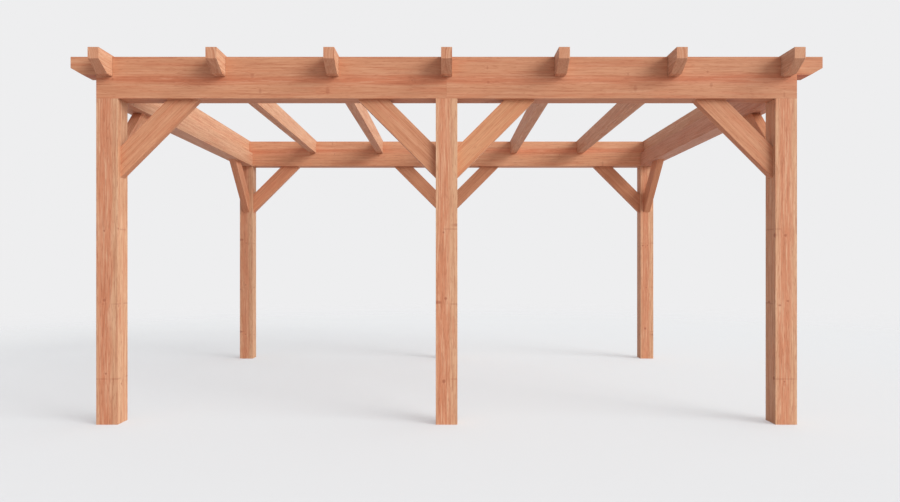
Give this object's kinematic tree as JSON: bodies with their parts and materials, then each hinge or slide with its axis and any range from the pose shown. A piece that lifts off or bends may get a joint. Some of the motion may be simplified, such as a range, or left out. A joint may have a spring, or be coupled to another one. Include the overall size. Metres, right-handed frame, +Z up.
{
  "type": "timber patio cover",
  "caption": "Open timber patio cover with square posts, deep beams with angled tails, housed rafters and diagonal knee braces",
  "frame": {"origin": "on the floor, midway between the posts both ways", "axes": "X along the front beam, the front faces -Y, Z up"},
  "size_m": [5.315, 3.983, 2.61],
  "materials": {
    "timber": "planed reddish softwood with a clear oil finish, straight grain and small knots"
  },
  "bodies": {
    "root": {"front_left_post": "timber", "front_middle_post": "timber", "front_right_post": "timber", "back_left_post": "timber", "back_middle_post": "timber", "back_right_post": "timber", "front_beam_left": "timber", "front_beam_right": "timber", "back_beam_left": "timber", "back_beam_right": "timber", "left_side_beam": "timber", "right_side_beam": "timber", "rafter_1": "timber", "rafter_2": "timber", "rafter_3": "timber", "rafter_4": "timber", "rafter_5": "timber", "rafter_6": "timber", "rafter_7": "timber", "front_left_brace": "timber", "front_middle_left_brace": "timber", "front_middle_right_brace": "timber", "front_right_brace": "timber", "back_left_brace": "timber", "back_middle_left_brace": "timber", "back_middle_right_brace": "timber", "back_right_brace": "timber", "left_front_brace": "timber", "left_back_brace": "timber", "right_front_brace": "timber", "right_back_brace": "timber"}
  },
  "joints": []
}
